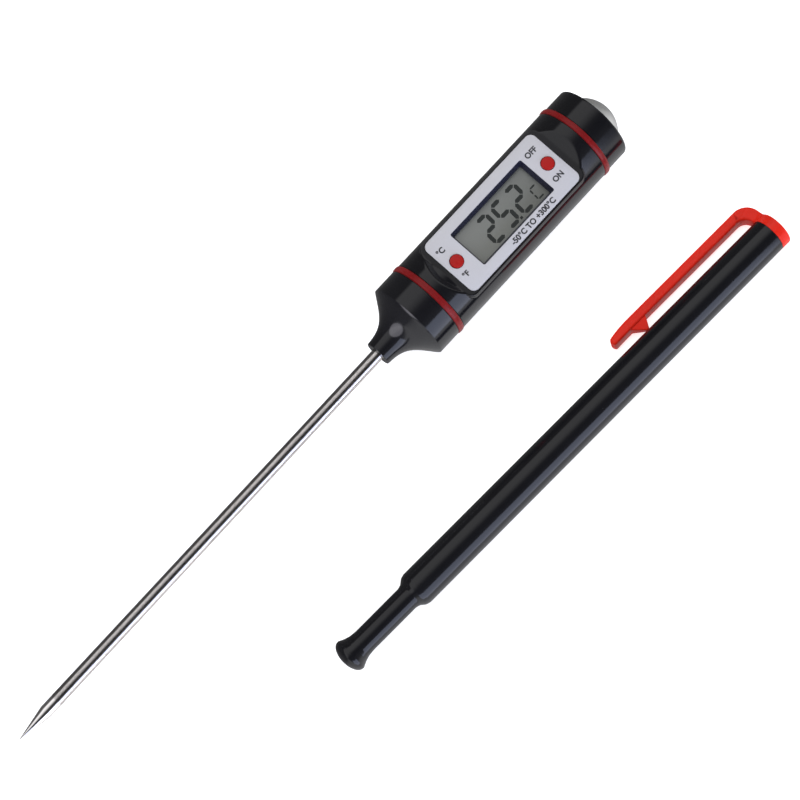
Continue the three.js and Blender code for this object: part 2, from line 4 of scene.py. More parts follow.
import bmesh
import bpy
import numpy as np
from mathutils import Matrix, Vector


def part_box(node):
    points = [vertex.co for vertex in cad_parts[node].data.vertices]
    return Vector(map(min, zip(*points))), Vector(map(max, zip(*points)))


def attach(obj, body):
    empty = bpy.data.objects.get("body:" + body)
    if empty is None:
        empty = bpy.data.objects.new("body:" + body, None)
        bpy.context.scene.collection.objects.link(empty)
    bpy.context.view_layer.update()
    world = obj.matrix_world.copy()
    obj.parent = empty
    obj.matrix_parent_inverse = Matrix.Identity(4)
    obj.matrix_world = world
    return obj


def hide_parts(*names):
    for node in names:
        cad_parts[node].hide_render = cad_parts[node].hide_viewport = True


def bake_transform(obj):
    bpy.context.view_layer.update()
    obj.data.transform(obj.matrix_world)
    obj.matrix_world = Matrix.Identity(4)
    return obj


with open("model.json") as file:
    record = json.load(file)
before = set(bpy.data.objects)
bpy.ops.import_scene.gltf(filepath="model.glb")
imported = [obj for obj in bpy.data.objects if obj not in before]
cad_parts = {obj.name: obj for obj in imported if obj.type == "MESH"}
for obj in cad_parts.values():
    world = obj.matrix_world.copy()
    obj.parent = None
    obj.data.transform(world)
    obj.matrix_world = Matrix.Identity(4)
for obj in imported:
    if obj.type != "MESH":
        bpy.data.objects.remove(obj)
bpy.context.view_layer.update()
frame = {"nodes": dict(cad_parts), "record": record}
scene = bpy.context.scene
mm = 0.001

# Where things are is read from the CAD pieces, in millimetres.


def boxOf(node):
    low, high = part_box(node)
    return np.array(low) / mm, np.array(high) / mm


def middleOf(node):
    low, high = boxOf(node)
    return (low + high) / 2


neckPoint = np.array([boxOf("nose_housing")[0][0], *middleOf("probe_tube")[1:]])


def stations(node):  # where a node starts and ends along the thermometer, from the neck's end face
    low, high = boxOf(node)
    return low[0] - neckPoint[0], high[0] - neckPoint[0]


def heights(node):  # lowest and highest level of a node above the thermometer's axis
    low, high = boxOf(node)
    return low[2] - neckPoint[2], high[2] - neckPoint[2]


def placing(origin, along, up):  # 4x4 place of a local frame that has X along and Z up
    place = np.eye(4)
    place[:3, 0] = along
    place[:3, 1] = np.cross(up, along)
    place[:3, 2] = up
    place[:3, 3] = origin
    return place


sheathSize = {"length": 173.9, "radius": 5.4, "wall": 0.95, "roll": 16.0}
mouth = next(m for m in frame["record"]["mounts"] if m["name"] == "sheath_mouth")
sheathAlong = np.array(mouth["axis"]) / np.linalg.norm(mouth["axis"])
mouthCentre = np.array([*np.array(mouth["pos_m"])[:2] / mm, sheathSize["radius"]])
sheathTail = mouthCentre - sheathAlong * sheathSize["length"]
rollAngle = math.radians(sheathSize["roll"])
sheathSide = np.cross([0, 0, 1], sheathAlong)
clipOut = sheathSide * math.cos(rollAngle) - np.array([0, 0, 1]) * math.sin(rollAngle)

thermoPlace = placing(neckPoint, [1, 0, 0], [0, 0, 1])
sheathPlace = placing(sheathTail, sheathAlong, [0, 0, 1])
clipPlace = placing(sheathTail, sheathAlong, clipOut)
print("frame loaded, neck at", neckPoint.round(2), "sheath tail at", sheathTail.round(2))


# Shader maths: Link wraps an output socket, and arithmetic on it adds Math nodes.
class Link:
    def __init__(self, graph, socket):
        self.graph, self.socket = graph, socket

    def maths(self, operation, a, b=0.0):
        return self.graph.make("ShaderNodeMath", {"operation": operation}, {0: a, 1: b})

    def __add__(self, other):
        return self.maths("ADD", self, other)

    def __radd__(self, other):
        return self.maths("ADD", other, self)

    def __sub__(self, other):
        return self.maths("SUBTRACT", self, other)

    def __rsub__(self, other):
        return self.maths("SUBTRACT", other, self)

    def __mul__(self, other):
        return self.maths("MULTIPLY", self, other)

    def __rmul__(self, other):
        return self.maths("MULTIPLY", other, self)

    def over(self, level):  # 1 where the value is above the level
        return self.maths("GREATER_THAN", self, level)


class Graph:
    def __init__(self, name, kind="materials", coordinates="Object"):
        self.material = getattr(bpy.data, kind).new(name)
        self.material.use_nodes = True
        self.tree = self.material.node_tree
        self.tree.nodes.clear()
        self.place = self.make("ShaderNodeTexCoord", None, None, coordinates)

    # The one node-making method: settings go first, then each socket gets its value or its link.
    def make(self, kind, settings=None, values=None, out=0):
        node = self.tree.nodes.new(kind)
        for key, value in (settings or {}).items():
            if key == "stops":
                while len(node.color_ramp.elements) < len(value):
                    node.color_ramp.elements.new(0.5)
                for element, (position, shade) in zip(node.color_ramp.elements, value):
                    element.position = position
                    element.color = (*shade, 1) if len(shade) == 3 else shade
            else:
                setattr(node, key, value)
        for key, value in (values or {}).items():
            if isinstance(value, Link):
                self.tree.links.new(value.socket, node.inputs[key])
            else:
                node.inputs[key].default_value = value
        return None if out is None else Link(self, node.outputs[out])

    def stretched(self, scale, turn=(0, 0, 0)):  # object coordinates in metres, scaled for a pattern
        return self.make("ShaderNodeMapping", None, {0: self.place, "Rotation": turn, "Scale": scale})

    def noise(self, scale, detail=3.0, rough=0.55, where=None):
        values = {"Vector": where or self.place, "Scale": scale, "Detail": detail, "Roughness": rough}
        return self.make("ShaderNodeTexNoise", None, values)

    def specks(self, scale, size):  # 1 inside small round dots, one in some of the cells
        cells = {"Vector": self.place, "Scale": scale}
        distance = self.make("ShaderNodeTexVoronoi", None, cells, "Distance")
        return 1 - distance.over(size)

    def ramp(self, factor, stops):
        return self.make("ShaderNodeValToRGB", {"stops": stops}, {0: factor})

    def mixed(self, factor, a, b):
        settings = {"data_type": "RGBA"}
        a, b = (shade if isinstance(shade, Link) else (*shade, 1) for shade in (a, b))
        return self.make("ShaderNodeMix", settings, {0: factor, 6: a, 7: b}, 2)

    def bump(self, height, strength, distance):
        values = {"Height": height, "Strength": strength, "Distance": distance}
        return self.make("ShaderNodeBump", None, values)

    def finish(self, **sockets):
        shader = self.make("ShaderNodeBsdfPrincipled", None, {
            key: ((*value, 1) if key.endswith("Color") and isinstance(value, tuple) else value)
            for key, value in sockets.items()
        })
        self.make("ShaderNodeOutputMaterial", None, {"Surface": shader}, None)
        return self.material


# Surfaces are grids of points, and a grid's rows and columns may close on themselves.


def gridFaces(rows, columns, wrapRows=False, wrapColumns=True):
    row = np.arange(rows if wrapRows else rows - 1)
    column = np.arange(columns if wrapColumns else columns - 1)
    r, c = np.meshgrid(row, column, indexing="ij")
    nextR, nextC = (r + 1) % rows, (c + 1) % columns
    quads = np.stack([r * columns + c, r * columns + nextC, nextR * columns + nextC, nextR * columns + c], -1)
    return quads.reshape(-1, 4).tolist()


def meshOf(name, points, faces, place):  # local millimetres into world metres
    world = (points @ place[:3, :3].T + place[:3, 3]) * mm
    mesh = bpy.data.meshes.new(name)
    mesh.from_pydata(world.tolist(), [], faces)
    return mesh


def lids(rows, columns):  # the first and the last row of a grid, as one face each
    return [list(range(columns))[::-1], list(range((rows - 1) * columns, rows * columns))]


def closeUp(mesh, sharp):  # merges poles and seams, turns faces outwards, and marks sharp edges
    work = bmesh.new()
    work.from_mesh(mesh)
    bmesh.ops.remove_doubles(work, verts=work.verts, dist=2e-7)
    bmesh.ops.dissolve_degenerate(work, edges=work.edges, dist=1e-8)
    bmesh.ops.recalc_face_normals(work, faces=work.faces)
    work.to_mesh(mesh)
    work.free()
    mesh.shade_smooth()
    mesh.set_sharp_from_angle(angle=math.radians(sharp))


def addPiece(name, mesh, body, finish, hides=(), sharp=38):
    closeUp(mesh, sharp)
    piece = bpy.data.objects.new(name, mesh)
    scene.collection.objects.link(piece)
    mesh.materials.clear()
    mesh.materials.append(finish)
    if hides:
        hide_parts(*hides)
    if body:
        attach(piece, body)
    return piece


# A rounded corner of a profile becomes an arc tangent to both of its sides, with a point just before
# and after it so that the long sides shade flat. Corners are (along, out, rounding).
def softProfile(corners, steps=6):
    line = []
    for i, (a, b, rounding) in enumerate(corners):
        here = np.array([a, b], float)
        if rounding == 0 or i in (0, len(corners) - 1):
            line.append(here[None])
            continue
        before = np.array(corners[i - 1][:2], float) - here
        after = np.array(corners[i + 1][:2], float) - here
        room = 0.47 * min(np.linalg.norm(before), np.linalg.norm(after))
        before, after = before / np.linalg.norm(before), after / np.linalg.norm(after)
        half = math.acos(np.clip(before @ after, -1, 1)) / 2
        cut = min(rounding / math.tan(half), room / 1.15)
        radius = cut * math.tan(half)
        bisector = (before + after) / np.linalg.norm(before + after)
        centre = here + bisector * radius / math.sin(half)
        first, last = here + before * cut - centre, here + after * cut - centre
        sweep = math.atan2(first[0] * last[1] - first[1] * last[0], first @ last)
        turn = sweep * np.linspace(0, 1, steps + 1)
        sideways = np.array([-first[1], first[0]])
        arc = centre + np.cos(turn)[:, None] * first + np.sin(turn)[:, None] * sideways
        line += [here[None] + before * cut * 1.15, arc, here[None] + after * cut * 1.15]
    return np.concatenate(line)


# A turned surface: each point of the profile (x, r) goes round the axis as (x, r cos a, r sin a).
def turnedMesh(name, profile, place=thermoPlace, around=128, closed=False, axis="x"):
    profile = np.asarray(profile, float)
    angle = np.linspace(0, 2 * np.pi, around, endpoint=False)
    x = np.repeat(profile[:, :1], around, 1)
    y, z = profile[:, 1:] * np.cos(angle), profile[:, 1:] * np.sin(angle)
    points = np.stack([x, y, z] if axis == "x" else [y, z, x], -1)
    faces = gridFaces(len(profile), around, wrapRows=closed)
    return meshOf(name, points.reshape(-1, 3), faces, place)


def shifted(place, x=0.0, y=0.0, z=0.0):  # the same frame with its origin moved in its own axes
    moved = place.copy()
    moved[:3, 3] = place[:3, :3] @ np.array([x, y, z]) + place[:3, 3]
    return moved


# A closed outline in the XY plane, given straight walls between two heights and a small edge
# rounding: each row is the outline moved inwards, so point = centre + (outline - inset * normal).
def plateMesh(name, outline, low, high, edge, place):
    ahead = np.roll(outline, -1, 0) - np.roll(outline, 1, 0)
    normal = np.stack([ahead[:, 1], -ahead[:, 0]], -1) / np.linalg.norm(ahead, axis=1)[:, None]
    rows = [
        (edge, low), (edge * 0.3, low + edge * 0.3), (0, low + edge),
        (0, high - edge), (edge * 0.3, high - edge * 0.3), (edge, high),
    ]
    count = len(outline)
    rings = [np.column_stack([outline - inset * normal, np.full(count, level)]) for inset, level in rows]
    faces = gridFaces(len(rows), count) + lids(len(rows), count)
    return meshOf(name, np.concatenate(rings), faces, place)


def roundedOutline(length, width, corner, steps=10):  # a rectangle with quarter-circle corners
    turn = np.linspace(0, np.pi / 2, steps + 1)
    quarters = [
        (np.cos(turn + k * np.pi / 2) * corner + sx * (length / 2 - corner),
         np.sin(turn + k * np.pi / 2) * corner + sy * (width / 2 - corner))
        for k, (sx, sy) in enumerate([(1, 1), (-1, 1), (-1, -1), (1, -1)])
    ]
    return np.concatenate([np.stack(q, -1) for q in quarters])


def combined(mesh, cutters, operation):  # the mesh joined to or cut by closed meshes
    body = bpy.data.objects.new("body", mesh)
    scene.collection.objects.link(body)
    tools = []
    for cutter in cutters:
        tool = bpy.data.objects.new("tool", cutter)
        scene.collection.objects.link(tool)
        cut = body.modifiers.new("cut", "BOOLEAN")
        cut.object, cut.operation, cut.solver = tool, operation, "EXACT"
        tools.append(tool)
    bpy.context.view_layer.update()
    made = bpy.data.meshes.new_from_object(body.evaluated_get(bpy.context.evaluated_depsgraph_get()))
    for leftover in [body, *tools]:
        bpy.data.objects.remove(leftover)
    return made


# Finishes. Patterns read object coordinates, which are metres, so a scale of 1000 is one cell a millimetre.


tints = {
    "black": (0.0075, 0.0075, 0.009), "clip": (0.78, 0.022, 0.010), "button": (0.44, 0.012, 0.010),
    "ring": (0.21, 0.009, 0.010), "segment": (0.006, 0.009, 0.008), "print": (0.02, 0.02, 0.024),
    "recess": (0.010, 0.011, 0.028), "rubber": (0.02, 0.02, 0.021), "brass": (0.78, 0.57, 0.24),
    "can": (0.66, 0.65, 0.62), "wire": (0.42, 0.018, 0.014), "bead": (0.07, 0.03, 0.012),
}


def scaled(tint, share):
    return tuple(share * c for c in tint)


def glossBlack(name, tint):
    g = Graph(name)
    cloud = g.noise(120, 3)
    fine = g.noise(900, 4, 0.6)
    scuffs = g.noise(1, 4, 0.7, g.stretched((260, 2600, 2600)))
    dust = g.specks(420, 0.045) * g.noise(240, 1).over(0.56)
    shade = g.mixed(cloud, scaled(tint, 0.8), scaled(tint, 1.25))
    colour = g.mixed(dust * 0.35, shade, (0.09, 0.09, 0.095))
    roughness = 0.085 + 0.05 * cloud + 0.05 * scuffs * scuffs + dust * 0.2
    wave = g.bump(g.noise(260, 1) * 0.7 + fine * 0.1, 0.35, 0.00002)
    return g.finish(**{
        "Base Color": colour, "Roughness": roughness, "Normal": wave, "IOR": 1.53, "Specular IOR Level": 0.33,
    })


def glossRed(name, tint):
    g = Graph(name)
    cloud = g.noise(160, 3)
    flow = g.noise(1, 3, 0.5, g.stretched((90, 700, 700)))
    shade = g.mixed(cloud, scaled(tint, 0.86), scaled(tint, 1.1))
    colour = g.mixed(flow * 0.25, shade, (1.2 * tint[0], 1.8 * tint[1], 1.8 * tint[2]))
    roughness = 0.2 + 0.1 * cloud + 0.06 * flow
    wave = g.bump(g.noise(420, 2), 0.4, 0.00002)
    return g.finish(**{
        "Base Color": colour, "Roughness": roughness, "Normal": wave, "IOR": 1.49, "Specular IOR Level": 0.16,
        "Subsurface Weight": 0.12, "Subsurface Radius": (1.0, 0.15, 0.1), "Subsurface Scale": 0.0012,
    })


def polishedSteel(name):
    g = Graph(name)
    drawn = g.noise(1, 5, 0.6, g.stretched((35, 5200, 5200)))
    rings = g.noise(1, 4, 0.6, g.stretched((9000, 120, 120)))
    cloud = g.noise(90, 3)
    colour = g.mixed(cloud, (0.76, 0.725, 0.71), (0.88, 0.855, 0.845))
    roughness = 0.07 + 0.06 * drawn + 0.03 * cloud
    lines = g.bump(drawn * 0.6 + rings * 0.4, 0.22, 0.000012)
    return g.finish(**{"Base Color": colour, "Metallic": 1.0, "Roughness": roughness, "Normal": lines})


def satinSilver(name):
    g = Graph(name)
    grain = g.noise(2600, 3, 0.6)
    cloud = g.noise(140, 3)
    colour = g.mixed(grain, (0.52, 0.52, 0.50), (0.80, 0.80, 0.79))
    roughness = 0.3 + 0.14 * grain + 0.06 * cloud
    return g.finish(**{
        "Base Color": colour, "Metallic": 0.85, "Roughness": roughness,
        "Normal": g.bump(grain, 0.35, 0.00002),
    })


def labelPaint(name):
    g = Graph(name)
    grain = g.noise(3800, 2, 0.7)
    cloud = g.noise(70, 2)
    colour = g.mixed(grain, (0.575, 0.57, 0.605), (0.65, 0.645, 0.68))
    colour = g.mixed(cloud * 0.35, colour, (0.67, 0.665, 0.695))
    roughness = 0.42 + 0.12 * grain
    return g.finish(**{
        "Base Color": colour, "Roughness": roughness, "Metallic": 0.1,
        "Normal": g.bump(grain, 0.25, 0.00001),
    })


lcdRim = {"side": 0.37, "end": 0.24}  # widths of a dark band along the panel's -Y side and its low-X end


def lcdField(name):  # grey-green with painted shade that darkens it along the panel, inside a dark band along two edges
    g = Graph(name)
    cloud = g.noise(60, 2)
    weave = g.noise(5200, 1)
    along, across = (g.make("ShaderNodeSeparateXYZ", None, {0: g.place}, axis) for axis in (0, 1))
    low, high = (corner * mm for corner in boxOf("lcd_panel"))
    # Painted shade: the grey-green darkens from the panel's low-X end to its high-X end, standing in for the
    # fall of light across it.
    paintedShadeRamp = (along - low[0]) * (1 / (high[0] - low[0]))
    base = g.mixed(paintedShadeRamp, (0.200, 0.208, 0.192), (0.135, 0.142, 0.130))
    base = g.mixed(cloud * 0.3, base, (0.21, 0.22, 0.20))
    colour = g.mixed(weave * 0.3, base, (0.13, 0.138, 0.126))
    # Near-black along the panel's -Y side and its low-X end.
    inside = across.over(low[1] + lcdRim["side"] * mm) * along.over(low[0] + lcdRim["end"] * mm)
    colour = g.mixed(1 - inside, colour, (0.006, 0.006, 0.008))
    return g.finish(**{
        "Base Color": colour, "Roughness": 0.3 + 0.05 * cloud, "Coat Weight": 0.6, "Coat Roughness": 0.06,
        "Normal": g.bump(weave, 0.1, 0.00001),
    })


def plainInk(name, tint, low=0.3, high=0.45):
    g = Graph(name)
    grain = g.noise(2400, 2)
    colour = g.mixed(grain, tint, tuple(1.7 * c + 0.002 for c in tint))
    return g.finish(**{"Base Color": colour, "Roughness": low + (high - low) * grain})


def boardGreen(name):
    g = Graph(name)
    tracks = g.make("ShaderNodeTexBrick", {"offset": 0.35}, {
        "Vector": g.stretched((300, 300, 300)), "Color1": (1, 1, 1, 1), "Color2": (0.5, 0.5, 0.5, 1),
        "Mortar": (0, 0, 0, 1), "Scale": 3.0, "Mortar Size": 0.08,
    })
    pads = g.specks(520, 0.16)
    colour = g.mixed(tracks, (0.045, 0.19, 0.06), (0.02, 0.10, 0.035))
    colour = g.mixed(pads, colour, (0.62, 0.5, 0.25))
    return g.finish(**{
        "Base Color": colour, "Roughness": 0.38 - pads * 0.12, "Metallic": pads * 0.8,
        "Normal": g.bump(tracks, 0.3, 0.00003),
    })


def mattRubber(name, tint):
    g = Graph(name)
    grain = g.noise(1500, 4, 0.65)
    colour = g.mixed(grain, tint, scaled(tint, 2.2))
    wave = g.bump(grain, 0.5, 0.00003)
    return g.finish(**{"Base Color": colour, "Roughness": 0.6 + 0.25 * grain, "Normal": wave})


def metalStrip(name, tint):
    g = Graph(name)
    drawn = g.noise(1, 4, 0.6, g.stretched((200, 3200, 3200)))
    colour = g.mixed(drawn, scaled(tint, 0.8), tint)
    wave = g.bump(drawn, 0.2, 0.00001)
    return g.finish(**{
        "Base Color": colour, "Metallic": 1.0, "Roughness": 0.22 + 0.2 * drawn, "Normal": wave,
    })


black = glossBlack("glossBlackPlastic", tints["black"])
clipRed = glossRed("clipRedPlastic", tints["clip"])
buttonRed = glossRed("buttonRedPlastic", tints["button"])
ringRed = glossRed("ringRedPlastic", tints["ring"])
steel = polishedSteel("polishedSteel")
silver = satinSilver("satinSilver")
labelFinish = labelPaint("labelPaint")
lcdFinish = lcdField("lcdField")
segmentInk = plainInk("segmentInk", tints["segment"], 0.18, 0.26)
printInk = plainInk("printInk", tints["print"])
recessFinish = plainInk("recessBlack", tints["recess"], 0.22, 0.34)
boardFinish = boardGreen("boardGreen")
rubber = mattRubber("mattRubber", tints["rubber"])
brass = metalStrip("brassStrip", tints["brass"])
canFinish = metalStrip("cellCan", tints["can"])
wireFinish = plainInk("wireJacket", tints["wire"])
beadFinish = plainInk("beadEpoxy", tints["bead"], 0.12, 0.2)
print("finishes made")


# Probe: one smooth spike, the drawn tube running straight into its ground point.
spike = {"radius": 1.9, "cone": 10.2, "point": 0.16, "wall": 0.5, "openDepth": 6.0}
tip = stations("probe_tip")[0]
tubeEnd = stations("probe_tube")[1]
spikeProfile = softProfile([
    (tip, 0, 0),
    (tip + 0.02, spike["point"], 0.08),
    (tip + spike["cone"], spike["radius"], 3.0),
    (tubeEnd, spike["radius"], 0.1),
    (tubeEnd, spike["radius"] - spike["wall"], 0.05),
    (tubeEnd - spike["openDepth"], spike["radius"] - spike["wall"], 0.05),
    (tubeEnd - spike["openDepth"], 0, 0),
])
shaft = np.linspace(tip + spike["cone"] + 4, tubeEnd - 2, 60)
shaft = np.column_stack([shaft, np.full(len(shaft), spike["radius"])])  # keeps the long tube's faces short
at = int(np.searchsorted(spikeProfile[:, 0][:12], tip + spike["cone"] + 3)) or 12
spikeProfile = np.concatenate([spikeProfile[:at], shaft, spikeProfile[at:]])
apart = np.linalg.norm(np.diff(spikeProfile, axis=0), axis=1) > 1e-6
spikeProfile = spikeProfile[np.concatenate([[True], apart])]
addPiece(
    "probeSpike", turnedMesh("probeSpike", spikeProfile, around=64), "thermometer", steel,
    ("probe_tube", "probe_tip"),
)

# Nose: a short neck, a trumpet flare and a plain cylinder up to the lower ring.
nose = {
    "neck": 3.9, "radius": 12.5, "shoulder": 12.62, "cylinder": 19.9, "spigotEnd": 27.5, "spigot": 10.9,
    "bore": 1.97, "wall": 1.3, "hollow": 15, "funnel": 11.2, "socket": 9, "socketRadius": 3.5,
    "flareAt": [0.4, 2.0, 3.8, 5.6, 7.2, 8.9, 10.4, 11.6, 12.4],
    "flareRadius": [4.0, 4.12, 4.47, 5.1, 6.1, 7.75, 9.65, 11.2, 12.3],
}


# The radius is a fifth-degree curve of the station, fitted to the flare's own radii.
def flareCurve(steps=26):
    wanted = np.linspace(nose["flareAt"][0], nose["flareAt"][-1], steps)
    weights = np.polyfit(nose["flareAt"], nose["flareRadius"], 5)
    return np.column_stack([wanted, np.polyval(weights, wanted)])


flare = flareCurve()
hollowRadius = nose["spigot"] - nose["wall"]
noseProfile = np.concatenate([
    softProfile([(0, nose["bore"], 0), (0, nose["neck"], 0.25), (flare[0, 0], flare[0, 1] - 0.02, 0)]),
    flare,
    softProfile([
        (flare[-1, 0] + 0.1, flare[-1, 1] + 0.09, 0), (nose["shoulder"], nose["radius"], 0.12),
        (nose["cylinder"], nose["radius"], 0.18), (nose["cylinder"], nose["spigot"], 0.1),
        (nose["spigotEnd"], nose["spigot"] - 0.02, 0.2), (nose["spigotEnd"], hollowRadius, 0.1),
        (nose["hollow"], hollowRadius, 0.5), (nose["funnel"], nose["socketRadius"], 0.3),
        (nose["socket"], nose["socketRadius"], 0.1), (nose["socket"], nose["bore"], 0),
    ]),
])
noseShell = addPiece(
    "noseShell", turnedMesh("noseShell", noseProfile, around=160, closed=True), "thermometer", black,
    ("nose_housing",),
)

# Trim rings: crowned red bands, each a closed profile carried round.
ringSize = {"radius": 12.8, "edge": 0.42, "crown": 0.12, "lowerInner": 11.1, "upperInner": 10.5}


def ringBand(name, node, inner, body):
    start, end = stations(node)
    side = ringSize["radius"] - ringSize["crown"]
    profile = softProfile([
        (start, inner + 0.2, 0), (start, side, ringSize["edge"]),
        ((start + end) / 2, ringSize["radius"], 2.0),
        (end, side, ringSize["edge"]), (end, inner, 0.1), (start, inner, 0.1), (start, inner + 0.2, 0),
    ])[:-1]
    band = turnedMesh(name, profile, around=160, closed=True)
    return addPiece(name, band, body, ringRed, (node,))


ringBand("lowerRingBand", "lower_ring", ringSize["lowerInner"], "thermometer")
ringBand("upperRingBand", "upper_ring", ringSize["upperInner"], "cap_ring_body")
print("probe, nose and rings made")

# Main housing. The radius at each station and angle is where a soft blend of three shapes has its skin:
# the cylinder joined to a rounded block for the display, and both cut by a flat top with ramped ends.
pad = {
    "start": 27.4, "length": 48.2, "halfWidth": 10.4, "height": 9.7, "slope": 0.86, "corner": 2.4,
    "crease": 0.22, "edge": 0.3, "rampEase": 0.3,
}
housing = {
    "radius": 12.5, "cavity": 11.1, "ceiling": 8.0, "spigot": 10.3, "thread": 0.45, "pitch": 1.5,
    "ringGap": 0.06,
    "bulkhead": 77.2, "pocket": 78.7, "pocketRadius": 6.1, "passage": 3.0, "rearRamp": 72.2,
    "fineStep": 0.22, "coarseStep": 1.6,
}
padMiddle = pad["start"] + pad["length"] / 2


def softMin(a, b, k):  # the lower of two fields, with their crossing rounded over a width k
    h = np.clip(0.5 + 0.5 * (b - a) / k, 0, 1)
    return b * (1 - h) + a * h - k * h * (1 - h)


def softMax(a, b, k):  # the higher of two fields, rounded in the same way
    return -softMin(-a, -b, k)


def housingField(x, y, z):  # positive inside the housing's outer skin
    tube = housing["radius"] - np.hypot(y, z)
    dx = np.abs(x - padMiddle) - pad["length"] / 2 + pad["corner"]
    dy = np.abs(y) - pad["halfWidth"] + pad["corner"]
    outside = np.hypot(np.maximum(dx, 0), np.maximum(dy, 0)) + np.minimum(np.maximum(dx, dy), 0)
    block = np.minimum(pad["corner"] - outside, z)
    rise = (np.abs(x - padMiddle) - pad["length"] / 2) * pad["slope"]
    top = pad["height"] + softMax(rise, 0 * rise, pad["rampEase"])
    return softMin(softMax(tube, block, pad["crease"]), (top - z) / 1.12, pad["edge"])


def housingSkin(x, angle):  # bisects along each ray from the axis until the field changes sign
    low, high = np.full_like(x * angle, 4.0), np.full_like(x * angle, 16.0)
    cosine, sine = np.cos(angle), np.sin(angle)
    for _ in range(30):
        middle = (low + high) / 2
        inside = housingField(x + 0 * middle, middle * cosine, middle * sine) > 0
        low, high = np.where(inside, middle, low), np.where(inside, high, middle)
    return (low + high) / 2


# The shell's rows run along the outside, down the threaded spigot and back through the hollow. The
# thread is a groove whose depth is a flattened triangle wave of station over pitch minus angle over a turn.
def mainShellMesh():
    start, spigotEnd = stations("main_housing")
    rear = stations("upper_ring")[0] - housing["ringGap"]
    angle = np.radians(np.concatenate([np.arange(28, 152, 0.8), np.arange(152, 388, 3.0)]))[None]
    rampEnd = pad["start"] + 3.5
    rows = np.concatenate([
        np.arange(start + 0.25, rampEnd, housing["fineStep"]),
        np.arange(rampEnd, housing["rearRamp"], housing["coarseStep"]),
        np.arange(housing["rearRamp"], rear - 0.25, housing["fineStep"]), [rear - 0.25],
    ])[:, None]
    outer = housingSkin(rows, angle)
    rim = [(0.0, 0.25), (0.03, 0.09), (0.11, 0.02)]
    front = [(start + a, outer[:1] - b) for a, b in rim]
    back = [(rear - a, outer[-1:] - b) for a, b in rim[::-1]]
    helix = np.arange(rear + 0.5, spigotEnd - 0.4, 0.12)[:, None]
    turn = (helix / housing["pitch"] - angle / (2 * np.pi)) % 1.0
    ease = np.clip((helix - rear - 0.5) / 0.6, 0, 1) * np.clip((spigotEnd - 0.4 - helix) / 0.6, 0, 1)
    groove = housing["thread"] * ease * np.clip(np.abs(turn - 0.5) * 4 - 0.5, 0, 1)
    cavity = np.minimum(housing["cavity"], housing["ceiling"] / np.maximum(np.sin(angle), 0.1))
    layers = [
        *front, (rows, outer), *back, (rear, housing["spigot"]), (helix, housing["spigot"] - groove),
        (spigotEnd - 0.3, housing["spigot"]), (spigotEnd, housing["spigot"] - 0.3),
        (spigotEnd, housing["pocketRadius"] + 0.3), (spigotEnd - 0.3, housing["pocketRadius"]),
        (housing["pocket"], housing["pocketRadius"]), (housing["pocket"], housing["passage"]),
        (housing["bulkhead"], housing["passage"]), (housing["bulkhead"], cavity), (start, cavity),
    ]
    x = np.concatenate([a + 0 * angle for a, _ in layers])
    r = np.concatenate([b + 0 * angle for _, b in layers])
    points = np.stack([x, r * np.cos(angle), r * np.sin(angle)], -1)
    shell = meshOf("mainShell", points.reshape(-1, 3), gridFaces(*x.shape, wrapRows=True), thermoPlace)
    closeUp(shell, 38)
    return shell


# Face: where the label, its window and the two buttons sit, on the flat of the housing.
face = {
    "length": 45.0, "width": 19.4, "corner": 2.0, "windowLength": 29.3, "windowWidth": 12.9,
    "windowCorner": 0.6, "gap": 0.1, "buttonHole": 2.12, "wellMargin": 1.1, "edge": 0.07,
}
labelLow, labelTop = heights("label_plate")
facePlace = shifted(thermoPlace, padMiddle)
buttonStations = [middleOf(n)[0] - neckPoint[0] for n in ("unit_button", "power_button")]


def discOutline(radius, centre, count=64):
    turn = np.linspace(0, 2 * np.pi, count, endpoint=False)
    return np.stack([centre + radius * np.cos(turn), radius * np.sin(turn)], -1)


def faceCutters(grow, low, high):  # the window's block and the two button holes
    window = roundedOutline(
        face["windowLength"] + 2 * grow, face["windowWidth"] + 2 * grow, face["windowCorner"] + grow * 0.3,
    )
    cutters = [plateMesh("window", window, low, high, 0.001, facePlace)]
    for station in buttonStations:
        hole = discOutline(face["buttonHole"], station - padMiddle)
        cutters.append(plateMesh("hole", hole, low, high, 0.001, facePlace))
    return cutters


recessOutline = roundedOutline(
    face["length"] + 2 * face["gap"], face["width"] + 2 * face["gap"], face["corner"] + face["gap"],
)
recess = plateMesh("recess", recessOutline, labelLow - 0.06, 14.0, 0.001, facePlace)
shell = combined(mainShellMesh(), [recess, *faceCutters(face["wellMargin"], 7.0, 13.0)], "DIFFERENCE")
addPiece("mainShell", shell, "thermometer", black, ("main_housing",))

labelOutline = roundedOutline(face["length"], face["width"], face["corner"])
labelSheet = plateMesh("labelSheet", labelOutline, labelLow, labelTop, face["edge"], facePlace)
labelSheet = combined(labelSheet, faceCutters(0, labelLow - 1, labelTop + 1), "DIFFERENCE")
addPiece("labelSheet", labelSheet, "thermometer", labelFinish, ("label_plate",), 30)
print("housing and label made, from", len(shell.vertices), "points")

# Display well: a ring whose inner walls lean inwards on their way down to the panel.
well = {"wall": 1.0, "taper": 0.9, "corner": 0.6, "round": 0.12}
wellLow, wellTop = heights("display_frame")


def wellMesh():
    rows = [
        (2 * well["wall"], wellLow), (2 * well["wall"], wellTop - well["round"]),
        (2 * well["wall"] - well["round"], wellTop), (well["round"], wellTop),
        (0, wellTop - well["round"]), (-2 * well["taper"], wellLow + 0.05), (-2 * well["taper"], wellLow),
    ]
    rings = []
    for grow, level in rows:
        corner = max(0.3, well["corner"] + grow / 4)
        ring = roundedOutline(face["windowLength"] + grow, face["windowWidth"] + grow, corner)
        rings.append(np.column_stack([ring, np.full(len(ring), level)]))
    faces = gridFaces(len(rows), len(rings[0]), wrapRows=True)
    return meshOf("displayWell", np.concatenate(rings), faces, facePlace)


addPiece("displayWell", wellMesh(), "thermometer", recessFinish, ("display_frame",), 30)

